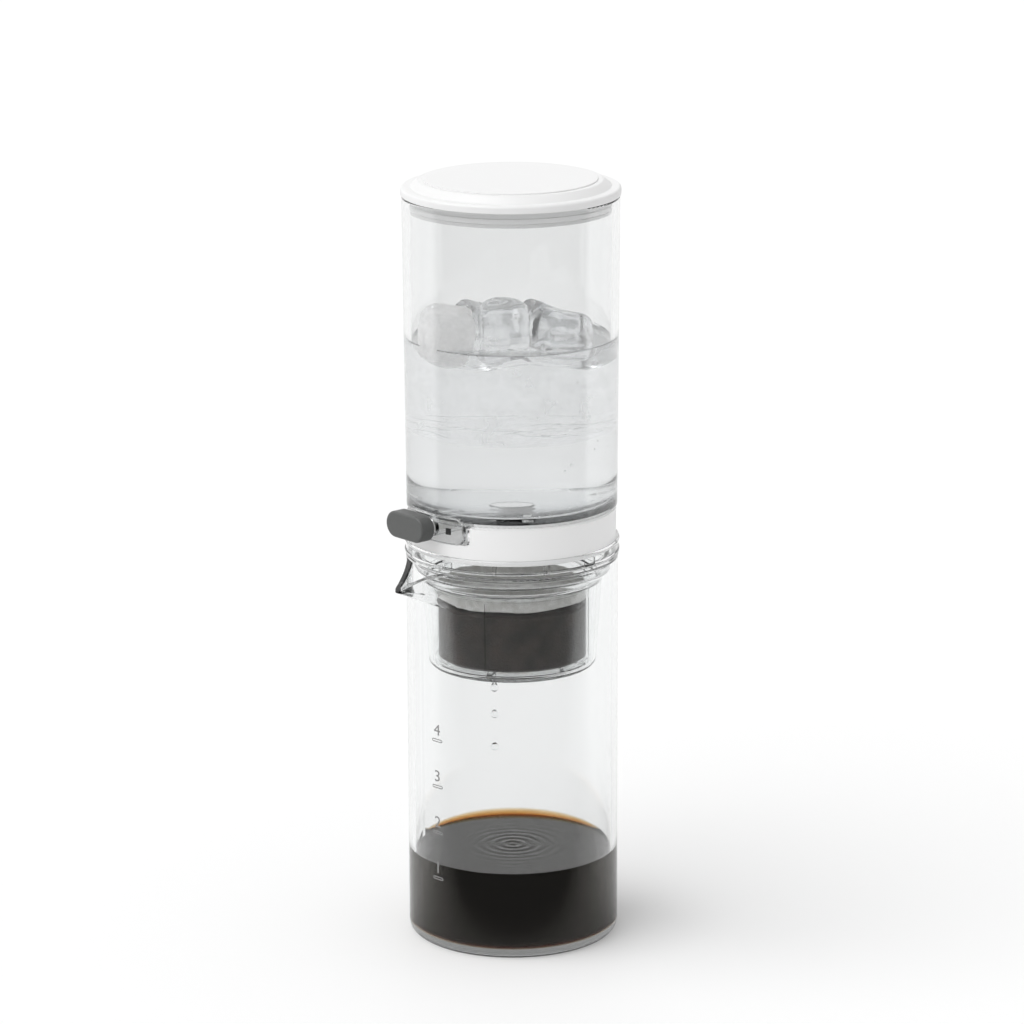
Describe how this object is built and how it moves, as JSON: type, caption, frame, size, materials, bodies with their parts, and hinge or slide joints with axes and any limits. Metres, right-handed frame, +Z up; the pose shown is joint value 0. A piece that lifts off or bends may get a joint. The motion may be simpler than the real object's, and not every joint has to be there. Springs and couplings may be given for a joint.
{
  "type": "cold brew coffee maker",
  "caption": "Upright slow-drip cold brew coffee maker: lidded clear water tank with a lever drip valve, strainer cup and glass carafe with a pouring spout.",
  "frame": {"origin": "centre of the carafe's flat foot, on the surface it stands on", "axes": "+Z up along the common axis of carafe, dripper and tank; -X towards the drip valve and its lever"},
  "size_m": [0.0998, 0.0902, 0.322],
  "materials": {
    "clear_glass": "clear polished glass",
    "clear_plastic": "clear polished copolyester",
    "white_plastic": "satin white",
    "grey_plastic": "fine matt moulded",
    "spindle_plastic": "machined acetal",
    "clear_silicone": "translucent silicone",
    "black_rubber": "moulded nitrile",
    "stainless_steel": "drawn and polished",
    "steel_mesh": "fine woven wire",
    "water": "clear still water",
    "ice": "clear ice with cloudy cores",
    "brewed_coffee": "dark liquid, red where it is thin",
    "coffee_grounds": "wet coarse grounds",
    "filter_paper": "wet filter paper",
    "grey_ink": "baked grey print"
  },
  "bodies": {
    "carafe": {"carafe": "clear_glass"},
    "dripper": {"dripper_body": "clear_plastic", "collar_gasket": "clear_silicone"},
    "strainer": {"strainer_frame": "clear_plastic", "strainer_side_mesh": "steel_mesh", "strainer_floor_mesh": "steel_mesh"},
    "tank": {"tank": "clear_plastic", "outlet_screen": "steel_mesh", "outlet_gasket": "clear_silicone", "tank_base_cover": "white_plastic", "base_screws": "stainless_steel", "valve_housing": "clear_plastic", "index_mark": "grey_plastic", "drip_nozzle": "stainless_steel"},
    "valve": {"valve_spindle": "spindle_plastic", "spindle_o_rings": "black_rubber", "spindle_clip": "stainless_steel", "knob_washer": "spindle_plastic", "valve_knob": "grey_plastic"},
    "lid": {"lid_cover": "white_plastic", "lid_seal": "clear_silicone"}
  },
  "joints": [
    {"name": "dripper_lift", "type": "slide", "parent": "carafe", "child": "dripper", "axis": [0, 0, 1], "range_m": [0, 0.06]},
    {"name": "strainer_lift", "type": "slide", "parent": "dripper", "child": "strainer", "axis": [0, 0, 1], "range_m": [0, 0.05]},
    {"name": "tank_lift", "type": "slide", "parent": "strainer", "child": "tank", "axis": [0, 0, 1], "range_m": [0, 0.03]},
    {"name": "lid_lift", "type": "slide", "parent": "tank", "child": "lid", "axis": [0, 0, 1], "range_m": [0, 0.03]},
    {"name": "valve_turn", "type": "hinge", "parent": "tank", "child": "valve", "pos_m": [-0.046, 0, 0.1828], "axis": [1, 0, 0], "range_deg": [0, 90]}
  ]
}
